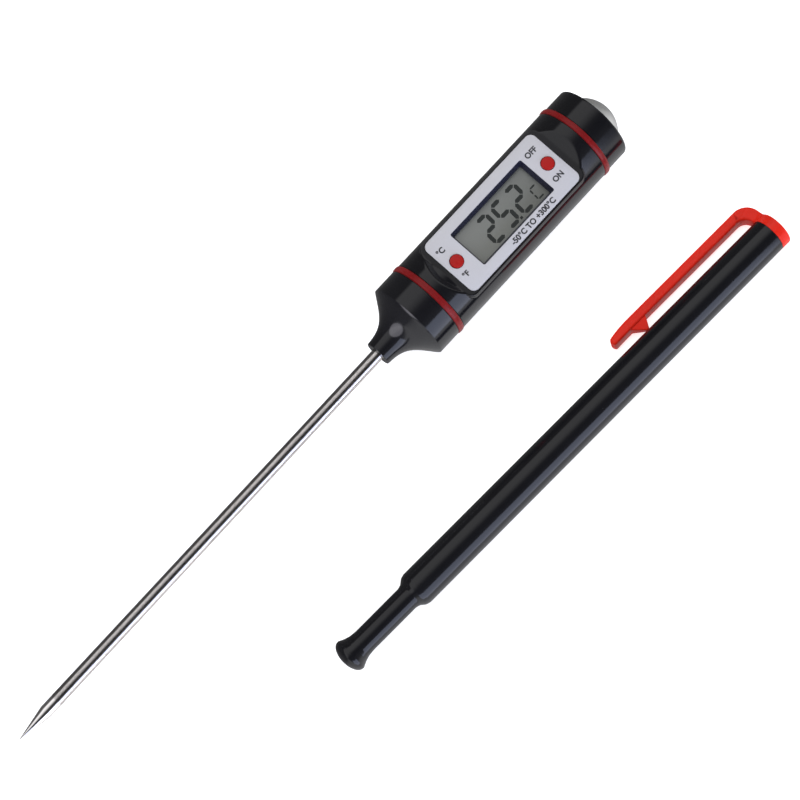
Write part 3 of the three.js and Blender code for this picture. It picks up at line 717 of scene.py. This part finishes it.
panel = {"length": 31.0, "width": 15.0, "corner": 0.3, "edge": 0.05}
lcdLow, lcdTop = heights("lcd_panel")
panelOutline = roundedOutline(panel["length"], panel["width"], panel["corner"])
glass = plateMesh("lcdGlass", panelOutline, lcdLow, lcdTop, panel["edge"], facePlace)
addPiece("lcdGlass", glass, "thermometer", lcdFinish, ("lcd_panel",))

# Digits: each bar is a six-sided sliver, and the whole figure leans by a shear of x with y.
digits = {
    "height": 9.15, "width": 4.75, "bar": 1.2, "gap": 0.17, "lean": 0.07, "first": 44.1, "pitch": 5.85,
    "middle": -0.4, "thickness": 0.02, "lift": 0.004, "point": 0.8, "pointAt": 1.84,
    "unitAt": 61.8, "unitRise": 0.15, "unitWidth": 2.8, "unitHeight": 4.2, "unitBar": 0.5,
}
segmentMap = {"2": "abged", "5": "afgcd", "C": "afed"}


def barShape(ax, ay, bx, by, bar):  # a strip from one end to the other, brought to a point at both
    along = np.array([bx - ax, by - ay])
    along = along / np.hypot(*along)
    across = np.array([-along[1], along[0]]) * bar / 2
    a, b = np.array([ax, ay]), np.array([bx, by])
    tip = along * bar / 2
    return np.array([a, a + tip + across, b - tip + across, b, b - tip - across, a + tip - across])


def figureBars(symbol, left, low, width, height, bar):  # the lit bars of a seven-bar figure
    x0, x1 = left + bar / 2, left + width - bar / 2
    y0, y1 = low + bar / 2, low + height - bar / 2
    ym, gap = (y0 + y1) / 2, digits["gap"]
    ends = {
        "a": (x0 + gap, y1, x1 - gap, y1), "b": (x1, ym + gap, x1, y1 - gap),
        "c": (x1, y0 + gap, x1, ym - gap), "d": (x0 + gap, y0, x1 - gap, y0),
        "e": (x0, y0 + gap, x0, ym - gap), "f": (x0, ym + gap, x0, y1 - gap),
        "g": (x0 + gap, ym, x1 - gap, ym),
    }
    return [barShape(*ends[s], bar) for s in segmentMap[symbol]]


def readoutMesh():
    low = digits["middle"] - digits["height"] / 2
    bars = []
    for symbol, slot in (("2", 0), ("5", 1), ("2", 2)):
        left = digits["first"] + slot * digits["pitch"]
        bars += figureBars(symbol, left, low, digits["width"], digits["height"], digits["bar"])
    bars += figureBars(
        "C", digits["unitAt"], low + digits["unitRise"], digits["unitWidth"], digits["unitHeight"],
        digits["unitBar"],
    )
    dot = digits["point"] * np.array([[-0.5, 0], [-0.5, 1], [0, 1], [0.5, 1], [0.5, 0], [0, 0]])
    bars.append(dot + np.array([digits["first"] + digits["pointAt"] * digits["pitch"], low]))
    flat = np.concatenate(bars)
    flat[:, 0] += (flat[:, 1] - low - digits["height"] / 2) * digits["lean"]
    base = np.column_stack([flat, np.full(len(flat), lcdTop + digits["lift"])])
    top = base + np.array([0, 0, digits["thickness"]])
    count = len(flat)
    start = np.arange(0, count, 6)[:, None]  # each bar and the point have six corners
    covers = np.concatenate([start + np.arange(6)[::-1], start + count + np.arange(6)])
    ring = (start + np.arange(6)).reshape(-1)
    after = (start + (np.arange(6) + 1) % 6).reshape(-1)
    sides = np.stack([ring, after, after + count, ring + count], -1)
    return meshOf("readoutDigits", np.concatenate([base, top]), covers.tolist() + sides.tolist(), thermoPlace)


addPiece("readoutDigits", readoutMesh(), "thermometer", segmentInk, sharp=20)


# Printed words: each is a text curve made a mesh, then laid on the label as a film of ink.
lettering = {"size": 2.3, "film": 0.008, "bolder": 0.085, "lift": 0.012}
words = {  # what it says, then its station and its distance from the axis
    "wordOff": ("OFF", 69.6, 5.6), "wordOn": ("ON", 69.6, -4.6), "wordCelsius": ("°C", 31.6, 5.2),
    "wordFahrenheit": ("°F", 31.6, -4.3), "wordRange": ("-50°C TO +300°C", 55.4, -8.0),
}


def printedWord(name, text, station, across):
    curve = bpy.data.curves.new(name, "FONT")
    curve.body = text
    curve.size = lettering["size"]
    curve.extrude = lettering["film"]
    curve.offset = lettering["bolder"]
    curve.align_x, curve.align_y = "CENTER", "CENTER"
    holder = bpy.data.objects.new(name, curve)
    scene.collection.objects.link(holder)
    bpy.context.view_layer.update()
    mesh = bpy.data.meshes.new_from_object(holder)
    bpy.data.objects.remove(holder)
    flat = np.empty(len(mesh.vertices) * 3, np.float32)
    mesh.vertices.foreach_get("co", flat)
    points = flat.reshape(-1, 3).astype(float)
    points[:, :2] -= (points[:, :2].min(0) + points[:, :2].max(0)) / 2
    points += np.array([station, across, labelTop + lettering["lift"]])
    world = (points @ thermoPlace[:3, :3].T + thermoPlace[:3, 3]) * mm
    mesh.vertices.foreach_set("co", world.astype(np.float32).ravel())
    mesh.update()
    return addPiece(name, mesh, "thermometer", printInk, sharp=20)


for name, (text, station, across) in words.items():
    printedWord(name, text, station, across)
print("display and print made")

# Buttons: domed red pins turned about Z.
knob = {
    "radius": 1.95, "flange": 2.7, "flangeTop": 7.9, "stem": 1.0, "stemLength": 1.2, "dome": 0.2, "edge": 0.3,
}
for name, node, body, station in (
    ("unitKnob", "unit_button", "unit_button_body", buttonStations[0]),
    ("powerKnob", "power_button", "power_button_body", buttonStations[1]),
):
    low, high = heights(node)
    flangeLow = low + knob["stemLength"]
    knobProfile = softProfile([
        (low, 0, 0), (low, knob["stem"], 0.1), (flangeLow, knob["stem"], 0.1),
        (flangeLow, knob["flange"], 0.15),
        (knob["flangeTop"], knob["flange"], 0.1), (knob["flangeTop"], knob["radius"], 0.1),
        (high - knob["dome"], knob["radius"], knob["edge"]), (high, 0.0, 0),
    ])
    knobMesh = turnedMesh(name, knobProfile, shifted(thermoPlace, station), 72, axis="z")
    addPiece(name, knobMesh, body, buttonRed, (node,))

# Battery cap and its silvery dome.
capSize = {
    "radius": 12.3, "bevel": 0.8, "bore": 10.55, "endWall": 2.6, "domeRadius": 8.75, "domeHeight": 5.3,
    "domeGap": 0.1, "seat": 1.3, "stem": 2.8,
}
capStart, capEnd = stations("battery_cap")
insideCap = capEnd - capSize["endWall"]
seat, seatRadius = capEnd - capSize["seat"], capSize["domeRadius"] + capSize["domeGap"]
stemHole = capSize["stem"] + capSize["domeGap"]
capProfile = softProfile([
    (capStart + 1, capSize["bore"], 0), (capStart, capSize["bore"], 0.1), (capStart, capSize["radius"], 0.2),
    (capEnd, capSize["radius"], capSize["bevel"]), (capEnd, seatRadius, 0.15), (seat, seatRadius, 0.05),
    (seat, stemHole, 0.05), (insideCap, stemHole, 0.05), (insideCap, capSize["bore"], 0.4),
    (capStart + 1, capSize["bore"], 0),
])[:-1]
addPiece(
    "capShell", turnedMesh("capShell", capProfile, around=160, closed=True), "cap_body", black,
    ("battery_cap",),
)
sphere = (capSize["domeRadius"] ** 2 + capSize["domeHeight"] ** 2) / (2 * capSize["domeHeight"])
turn = np.linspace(math.asin(capSize["domeRadius"] / sphere), 0, 28)
crown = np.column_stack([
    capEnd + capSize["domeHeight"] - sphere + sphere * np.cos(turn), sphere * np.sin(turn),
])
domeFoot, domeBack = stations("end_dome")[0], seat + 0.06
domeProfile = np.concatenate([
    softProfile([
        (domeFoot, 0, 0), (domeFoot, capSize["stem"], 0.05), (domeBack, capSize["stem"], 0.05),
        (domeBack, capSize["domeRadius"], 0.05), (capEnd - 0.05, capSize["domeRadius"], 0),
    ]),
    crown,
])
dome = turnedMesh("silverDome", domeProfile, around=144)
addPiece("silverDome", dome, "cap_body", silver, ("end_dome",))
print("buttons, cap and dome made")

# Sheath: one long turned tube with a blind tail.
tail = {
    "radius": 3.6, "knob": 5.15, "knobLength": 2.7, "flare": 5.6, "step": 24.9, "bore": 2.4, "boreDepth": 9.0,
}
collar = {"length": 3.2, "lip": 0.9, "rounding": 0.5, "seam": 0.06, "spigotHole": 4.97}
mouthEnd, tubeRadius = sheathSize["length"], sheathSize["radius"]
tubeEnd, lipBack = mouthEnd - collar["length"], mouthEnd - collar["lip"]
bore = tubeRadius - sheathSize["wall"]
spigot = tubeRadius - sheathSize["wall"] / 2 - 0.05
knobEnd, step = tail["knobLength"], tail["step"]
knobTurn = np.linspace(0, 1.47, 16)
knobCap = np.column_stack([knobEnd * (1 - np.cos(knobTurn)), (tail["knob"] - 0.1) * np.sin(knobTurn)])
longRun = np.linspace(step + 7.5, tubeEnd - 3, 50)
sheathProfile = np.concatenate([
    knobCap,
    softProfile([
        (knobEnd - 0.05, tail["knob"] - 0.12, 0), (knobEnd + 0.2, tail["knob"], 0.25),
        (knobEnd + 0.85, tail["knob"] - 0.3, 0.5), (knobEnd + 2.0, tail["radius"] + 0.7, 2.0),
        (knobEnd + 3.6, tail["radius"] + 0.2, 4.0), (knobEnd + tail["flare"], tail["radius"], 6.0),
        (step, tail["radius"], 2.0), (step + 1.2, tail["radius"] + 0.35, 1.5),
        (step + 2.5, tubeRadius - 0.4, 1.2), (step + 3.8, tubeRadius, 2.0), (step + 7, tubeRadius, 0),
    ])[:-1],
    np.column_stack([longRun, np.full(len(longRun), tubeRadius)]),
    softProfile([
        (tubeEnd - 2, tubeRadius, 0), (tubeEnd, tubeRadius, 0.12), (tubeEnd, spigot, 0.05),
        (lipBack - 0.1, spigot, 0.05), (lipBack - 0.1, bore, 0.05), (step + 4.5, bore, 0.3),
        (step + 2, tail["bore"], 0.3), (step - tail["boreDepth"] + 1.5, tail["bore"], 0.3),
        (step - tail["boreDepth"], 0, 0),
    ]),
])
addPiece(
    "sheathShell", turnedMesh("sheathShell", sheathProfile, sheathPlace, 144), "sheath_body", black,
    ("sheath_tube",),
)

# Clip: rows of a rounded rectangle between an outer and an inner line, in the plane of the clip.
clip = {
    "width": 4.4, "outer": 11.9, "inner": 8.8, "bend": 5.0, "innerBend": 3.1, "reach": 57.2, "corner": 0.75,
    "hingeBack": 7.4, "tipRound": 0.95, "outerDrop": 0.9, "outerDropLength": 8.0,
    "innerDrop": 0.15, "innerDropLength": 7.0, "fineFrom": 158.5,
    "foot": 3.5, "footStart": 6.83, "footEnd": 4.15, "webTop": 6.8, "webFoot": 5.65, "webBack": 0.54,
}
tooth = {
    "from": 6.2, "base": 6.8, "width": 3.2, "tipWidth": 1.5, "foot": 5.55, "corner": 0.3, "sunk": 0.5,
    "apex": 0.6, "apexBack": 0.3, "apexFront": 0.45,
}
clipTip = mouthEnd - clip["reach"]


# Each row is a rounded rectangle in the plane of its low and high point and of the clip's width. Its corner
# arcs keep their radius however the row's size changes.
def roundedRows(low, high, width, corner, steps=6):
    turn = np.linspace(0, np.pi / 2, steps + 1)
    angle = np.concatenate([turn + k * np.pi / 2 for k in range(4)])[None]
    signU = np.repeat([1, -1, -1, 1], steps + 1)[None]
    signV = np.repeat([1, 1, -1, -1], steps + 1)[None]
    thick = np.linalg.norm(high - low, axis=1)[:, None]
    radius = np.minimum(corner, 0.49 * np.minimum(thick, width[:, None]))
    u = signU * (thick / 2 - radius) + radius * np.cos(angle)
    v = signV * (width[:, None] / 2 - radius) + radius * np.sin(angle)
    middle = ((low + high) / 2)[:, None]
    across = ((high - low) / np.maximum(thick, 1e-6))[:, None]
    flat = middle + across * u[..., None]
    return np.stack([flat[..., 0], v, flat[..., 1]], -1)


def cappedRows(name, points, place):
    rows, columns = points.shape[:2]
    mesh = meshOf(name, points.reshape(-1, 3), gridFaces(rows, columns) + lids(rows, columns), place)
    closeUp(mesh, 38)
    return mesh


def footWidth(level):  # a hollow of radius foot rolls from the web's side on to the collar's round
    drop = np.clip(clip["footStart"] - level, 0, clip["foot"])
    return clip["width"] + 2 * (clip["foot"] - np.sqrt(clip["foot"] ** 2 - drop ** 2))


# The arm's rows run from its rounded tip along the straight, round a quarter-circle bend and down the web
# into the collar. Near the tip each line falls by its drop times the square of (1 - distance over length).
def clipArmMesh():
    ease = np.linspace(0, np.pi / 2, 8)
    inset = clip["tipRound"] * (1 - np.sin(ease))
    nearTip = clipTip + clip["tipRound"] * (1 - np.cos(ease))
    bendX = mouthEnd - clip["bend"]
    straight = np.concatenate([
        np.linspace(clipTip + 1.3, clipTip + 15, 22),
        np.linspace(clipTip + 16.5, clip["fineFrom"] - 0.5, 18),
        np.linspace(clip["fineFrom"] + 0.5, bendX - 0.5, 20),
    ])
    along = np.concatenate([nearTip, straight])
    outerNear = np.maximum(0, 1 - (along - clipTip) / clip["outerDropLength"])
    innerNear = np.maximum(0, 1 - (along - clipTip) / clip["innerDropLength"])
    outer = clip["outer"] - clip["outerDrop"] * outerNear ** 2
    inner = clip["inner"] - clip["innerDrop"] * innerNear ** 2
    shrink = np.concatenate([inset, np.zeros(len(straight))])
    armHigh, armLow = np.column_stack([along, outer - shrink]), np.column_stack([along, inner + shrink])
    sweep = np.linspace(np.pi / 2, 0, 20)
    circle = np.column_stack([np.cos(sweep), np.sin(sweep)])
    webBack = tubeEnd - clip["webBack"]
    bendHigh = np.array([bendX, clip["outer"] - clip["bend"]]) + clip["bend"] * circle
    bendLow = np.array([webBack, clip["inner"]]) - clip["innerBend"] + clip["innerBend"] * circle
    steps = 14
    webHigh = np.column_stack([np.full(steps, mouthEnd), np.linspace(clip["webTop"], clip["footEnd"], steps)])
    webLow = np.column_stack([np.full(steps, webBack), np.linspace(clip["webFoot"], clip["footEnd"], steps)])
    width = np.concatenate([clip["width"] - 2 * shrink, footWidth(bendHigh[:, 1]), footWidth(webHigh[:, 1])])
    low, high = np.concatenate([armLow, bendLow, webLow]), np.concatenate([armHigh, bendHigh, webHigh])
    return cappedRows("clipArm", roundedRows(low, high, width, clip["corner"]), clipPlace)


# The tooth's rows fall from inside the arm to its foot and narrow evenly, with the last three tucked in.
def toothMesh():
    top, foot = clip["inner"] + tooth["sunk"], tooth["foot"]
    level = np.concatenate([
        [top], np.linspace(clip["inner"] - 0.2, foot + 0.3, 7), [foot + 0.12, foot + 0.03, foot],
    ])
    share = np.clip((level - foot) / (top - foot), 0, 1)
    tuck = np.concatenate([np.zeros(8), [0.03, 0.1, 0.22]])
    rear, fore = clipTip + tooth["from"], clipTip + tooth["from"] + tooth["base"]
    apex = rear + tooth["apex"] * tooth["base"]
    apexRear, apexFore = apex - tooth["apexBack"], apex + tooth["apexFront"]
    back = apexRear + (rear - apexRear) * share + tuck
    front = apexFore + (fore - apexFore) * share - tuck
    width = tooth["tipWidth"] + (tooth["width"] - tooth["tipWidth"]) * share - 2 * tuck
    low, high = np.column_stack([back, level]), np.column_stack([front, level])
    return cappedRows("clipTooth", roundedRows(low, high, width, tooth["corner"], 4), clipPlace)


collarBack, hole = tubeEnd + collar["seam"], collar["spigotHole"]
collarProfile = softProfile([
    (tubeEnd + 1, tubeRadius, 0), (mouthEnd, tubeRadius, collar["rounding"]), (mouthEnd, bore, 0.12),
    (lipBack, bore, 0.05), (lipBack, hole, 0.05), (collarBack, hole, 0.05), (collarBack, tubeRadius, 0.1),
    (tubeEnd + 1, tubeRadius, 0),
])[:-1]
collarMesh = turnedMesh("collar", collarProfile, sheathPlace, 144, closed=True)
closeUp(collarMesh, 38)
toolBack, toolRadius = tubeEnd + collar["seam"] / 2, tubeRadius + 0.03
boreProfile = [
    (tubeEnd - 4, 0), (tubeEnd - 4, toolRadius), (toolBack, toolRadius), (toolBack, hole + 0.005),
    (lipBack, hole + 0.005), (lipBack, bore), (mouthEnd + 1, bore), (mouthEnd + 1, 0),
]
boreMesh = turnedMesh("boreTool", boreProfile, sheathPlace, 144)
closeUp(boreMesh, 38)
armMesh = combined(clipArmMesh(), [boreMesh], "DIFFERENCE")
clipMesh = combined(armMesh, [collarMesh, toothMesh()], "UNION")
redClip = addPiece("pocketClip", clipMesh, None, clipRed, ("clip_collar", "clip_arm"))


def clipPoint(along, out):
    return tuple((clipPlace[:3, :3] @ np.array([along, 0, out]) + clipPlace[:3, 3]) * mm)


hingeStation = mouthEnd - clip["hingeBack"]
clipPoint(hingeStation + 2.2, 10)
clipPoint(hingeStation - 7, 10)
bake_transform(redClip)
print("sheath and clip made")

# Nodes that keep their own shape get their finish here.
nodeFinishes = {
    boardFinish: ["circuit_board"],
    rubber: ["contact_strip", "controller_chip", "unit_switch", "power_switch", "cap_seal", "cap_pad"],
    brass: ["probe_ferrule", "cell_side_contact"],
    steel: ["board_screw_front", "board_screw_rear", "cell_spring"],
    canFinish: ["button_cell"],
    wireFinish: ["sensor_lead_left", "sensor_lead_right", "battery_lead_left", "battery_lead_right"],
    beadFinish: ["sensor_bead"],
}
for finish, names in nodeFinishes.items():
    for name in names:
        node = frame["nodes"][name]
        for slot in node.material_slots:
            slot.material = finish

# Studio: a pale floor, a banded surround, a soft overhead light, one long key panel and an end lamp.
studio = {
    "azimuth": 47.369, "elevation": 78.805, "roll": -0.46, "target": (15.75, 13.76, 0.0), "distance": 678.2,
    "lens": 108.0, "floor": 4.0, "floorGlow": 0.75, "bandStrength": 2.0,
    "bands": [
        (-180, 0.10), (-95, 0.06), (-57, 0.06), (-51, 0.56), (-20, 0.53), (-8, 0.34), (4, 0.08), (14, 0.02),
        (32, 0.02), (40, 0.06), (68, 0.12), (80, 0.28), (90, 0.6), (120, 0.62), (150, 0.42), (180, 0.2),
    ],
}


def floorPaper():
    g = Graph("floorPaper")
    cloud = g.noise(9, 2)
    colour = g.mixed(cloud, (0.86, 0.86, 0.86), (0.89, 0.89, 0.89))
    glow = {"Emission Color": (1.0, 1.0, 1.0), "Emission Strength": studio["floorGlow"]}
    return g.finish(**{"Base Color": colour, "Roughness": 0.9, **glow})


floorMesh = bpy.data.meshes.new("floorSheet")
half = studio["floor"] / 2
floorCorners = [(-half, -half, 0), (half, -half, 0), (half, half, 0), (-half, half, 0)]
floorMesh.from_pydata(floorCorners, [], [(0, 1, 2, 3)])
floorSheet = bpy.data.objects.new("floorSheet", floorMesh)
floorMesh.materials.append(floorPaper())
scene.collection.objects.link(floorSheet)
floorSheet.visible_glossy = False

azimuth, elevation = math.radians(studio["azimuth"]), math.radians(studio["elevation"])
forward = np.array([
    math.cos(elevation) * math.sin(azimuth), math.cos(elevation) * math.cos(azimuth), -math.sin(elevation),
])
right = np.array([math.cos(azimuth), -math.sin(azimuth), 0.0])
upward = np.cross(right, forward)
roll = math.radians(studio["roll"])
cosine, sine = math.cos(roll), math.sin(roll)
right, upward = right * cosine + upward * sine, upward * cosine - right * sine
target = np.array(studio["target"])
cameraData = bpy.data.cameras.new("studioCamera")
cameraData.lens = studio["lens"]
cameraData.sensor_width = 36
cameraData.clip_start, cameraData.clip_end = 0.01, 20
cameraData.dof.use_dof = False
camera = bpy.data.objects.new("studioCamera", cameraData)
cameraPlace = np.eye(4)
cameraPlace[:3, 0], cameraPlace[:3, 1], cameraPlace[:3, 2] = right, upward, -forward
cameraPlace[:3, 3] = (target - forward * studio["distance"]) * mm
camera.matrix_world = Matrix(cameraPlace.tolist())
scene.collection.objects.link(camera)
scene.camera = camera


# Surround: light comes in bands that run along the object, each at its own angle round the X axis,
# counted from straight up and positive towards -Y. What shows directly behind the object stays pale.
def paleRoom():
    g = Graph("paleRoom", "worlds", "Generated")
    y, z = (g.make("ShaderNodeSeparateXYZ", None, {0: g.place}, k) for k in (1, 2))
    around = g.make("ShaderNodeMath", {"operation": "ARCTAN2"}, {0: 0 - y, 1: z})
    bands = g.ramp(around * (0.5 / math.pi) + 0.5, [
        (angle / 360 + 0.5, (level * 0.985, level * 0.985, level)) for angle, level in studio["bands"]
    ])
    soft = g.make("ShaderNodeBackground", None, {0: bands, 1: studio["bandStrength"]})
    plain = g.make("ShaderNodeBackground", None, {0: (1, 1, 1, 1), 1: 1.0})
    seen = g.make("ShaderNodeLightPath", None, None, "Is Camera Ray")
    both = g.make("ShaderNodeMixShader", None, {0: seen, 1: soft, 2: plain})
    g.make("ShaderNodeOutputWorld", None, {0: both}, None)
    return g.material


scene.world = paleRoom()
scene.view_settings.view_transform = "Standard"


lamps = {  # places and sizes in metres, power in watts; a lamp with no gloss shows in no reflection
    "keyPanel": {
        "place": (-0.315, -0.567, 0.195), "aim": (-0.315, 0, 0), "size": (1.17, 0.45), "power": 5.2,
        "tint": (0.64, 0.71, 0.95), "shape": "RECTANGLE", "gloss": True,
    },
    "overhead": {
        "place": (0, 0, 1.5), "aim": (0, 0, 0), "size": (2.4, 2.4), "power": 12.8,
        "tint": (1, 1, 1), "shape": "RECTANGLE", "gloss": False,
    },
    "endLamp": {
        "place": (-0.44, 0.095, 0.234), "aim": (0.027, 0.0255, 0.02), "size": (0.45, 0.45), "power": 1.7,
        "tint": (0.92, 0.9, 1.0), "shape": "DISK", "gloss": True,
    },
}


def areaLight(name, lamp):
    data = bpy.data.lights.new(name, "AREA")
    data.color = lamp["tint"]
    data.shape = lamp["shape"]
    data.size, data.size_y = lamp["size"]
    data.energy = lamp["power"]
    light = bpy.data.objects.new(name, data)
    back = np.array(lamp["place"], float) - np.array(lamp["aim"], float)
    back = back / np.linalg.norm(back)
    side = np.cross([0, 0, 1], back)
    side = side / np.linalg.norm(side) if np.linalg.norm(side) > 1e-3 else np.array([1.0, 0, 0])
    turned = np.eye(4)
    turned[:3, 0], turned[:3, 1], turned[:3, 2] = side, np.cross(back, side), back
    turned[:3, 3] = lamp["place"]
    light.matrix_world = Matrix(turned.tolist())
    light.visible_glossy = lamp["gloss"]
    scene.collection.objects.link(light)
    return light


lights = {name: areaLight(name, lamp) for name, lamp in lamps.items()}
# The end lamp gives the nose its round glint and lights nothing else.
noseOnly = bpy.data.collections.new("noseOnly")
noseOnly.objects.link(noseShell)
lights["endLamp"].light_linking.receiver_collection = noseOnly
print("stage, camera and lights set")
